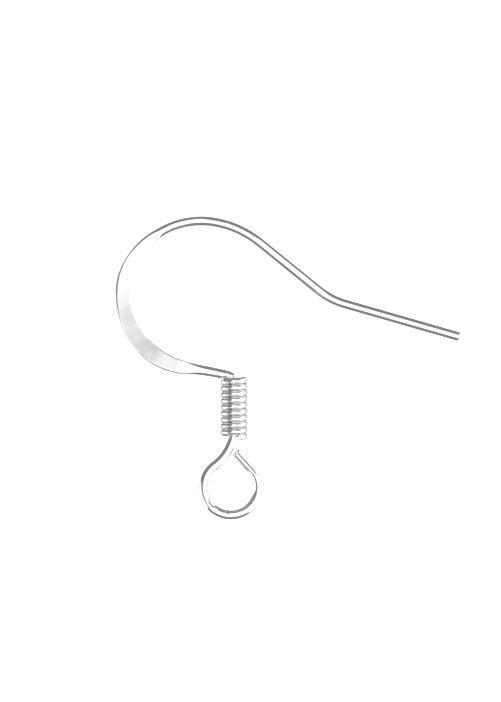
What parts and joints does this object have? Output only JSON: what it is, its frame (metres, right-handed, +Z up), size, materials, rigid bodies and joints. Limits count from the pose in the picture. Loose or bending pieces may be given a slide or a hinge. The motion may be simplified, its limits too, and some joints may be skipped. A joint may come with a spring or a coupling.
{
  "type": "ear wire",
  "caption": "Fish-hook ear wire of polished silver wire with a flattened front, a close-wound coil on its stem and a plain eye for a drop.",
  "frame": {"origin": "centre of the footprint, on the surface that it lies on", "axes": "as it lies on its side: +X towards the leg that goes through the ear, +Y towards the arch, +Z up from the surface"},
  "size_m": [0.0246, 0.0216, 0.0021],
  "materials": {
    "silver": "polished sterling silver"
  },
  "bodies": {
    "root": {"hook_wire": "silver", "wire_coil": "silver"}
  },
  "joints": []
}
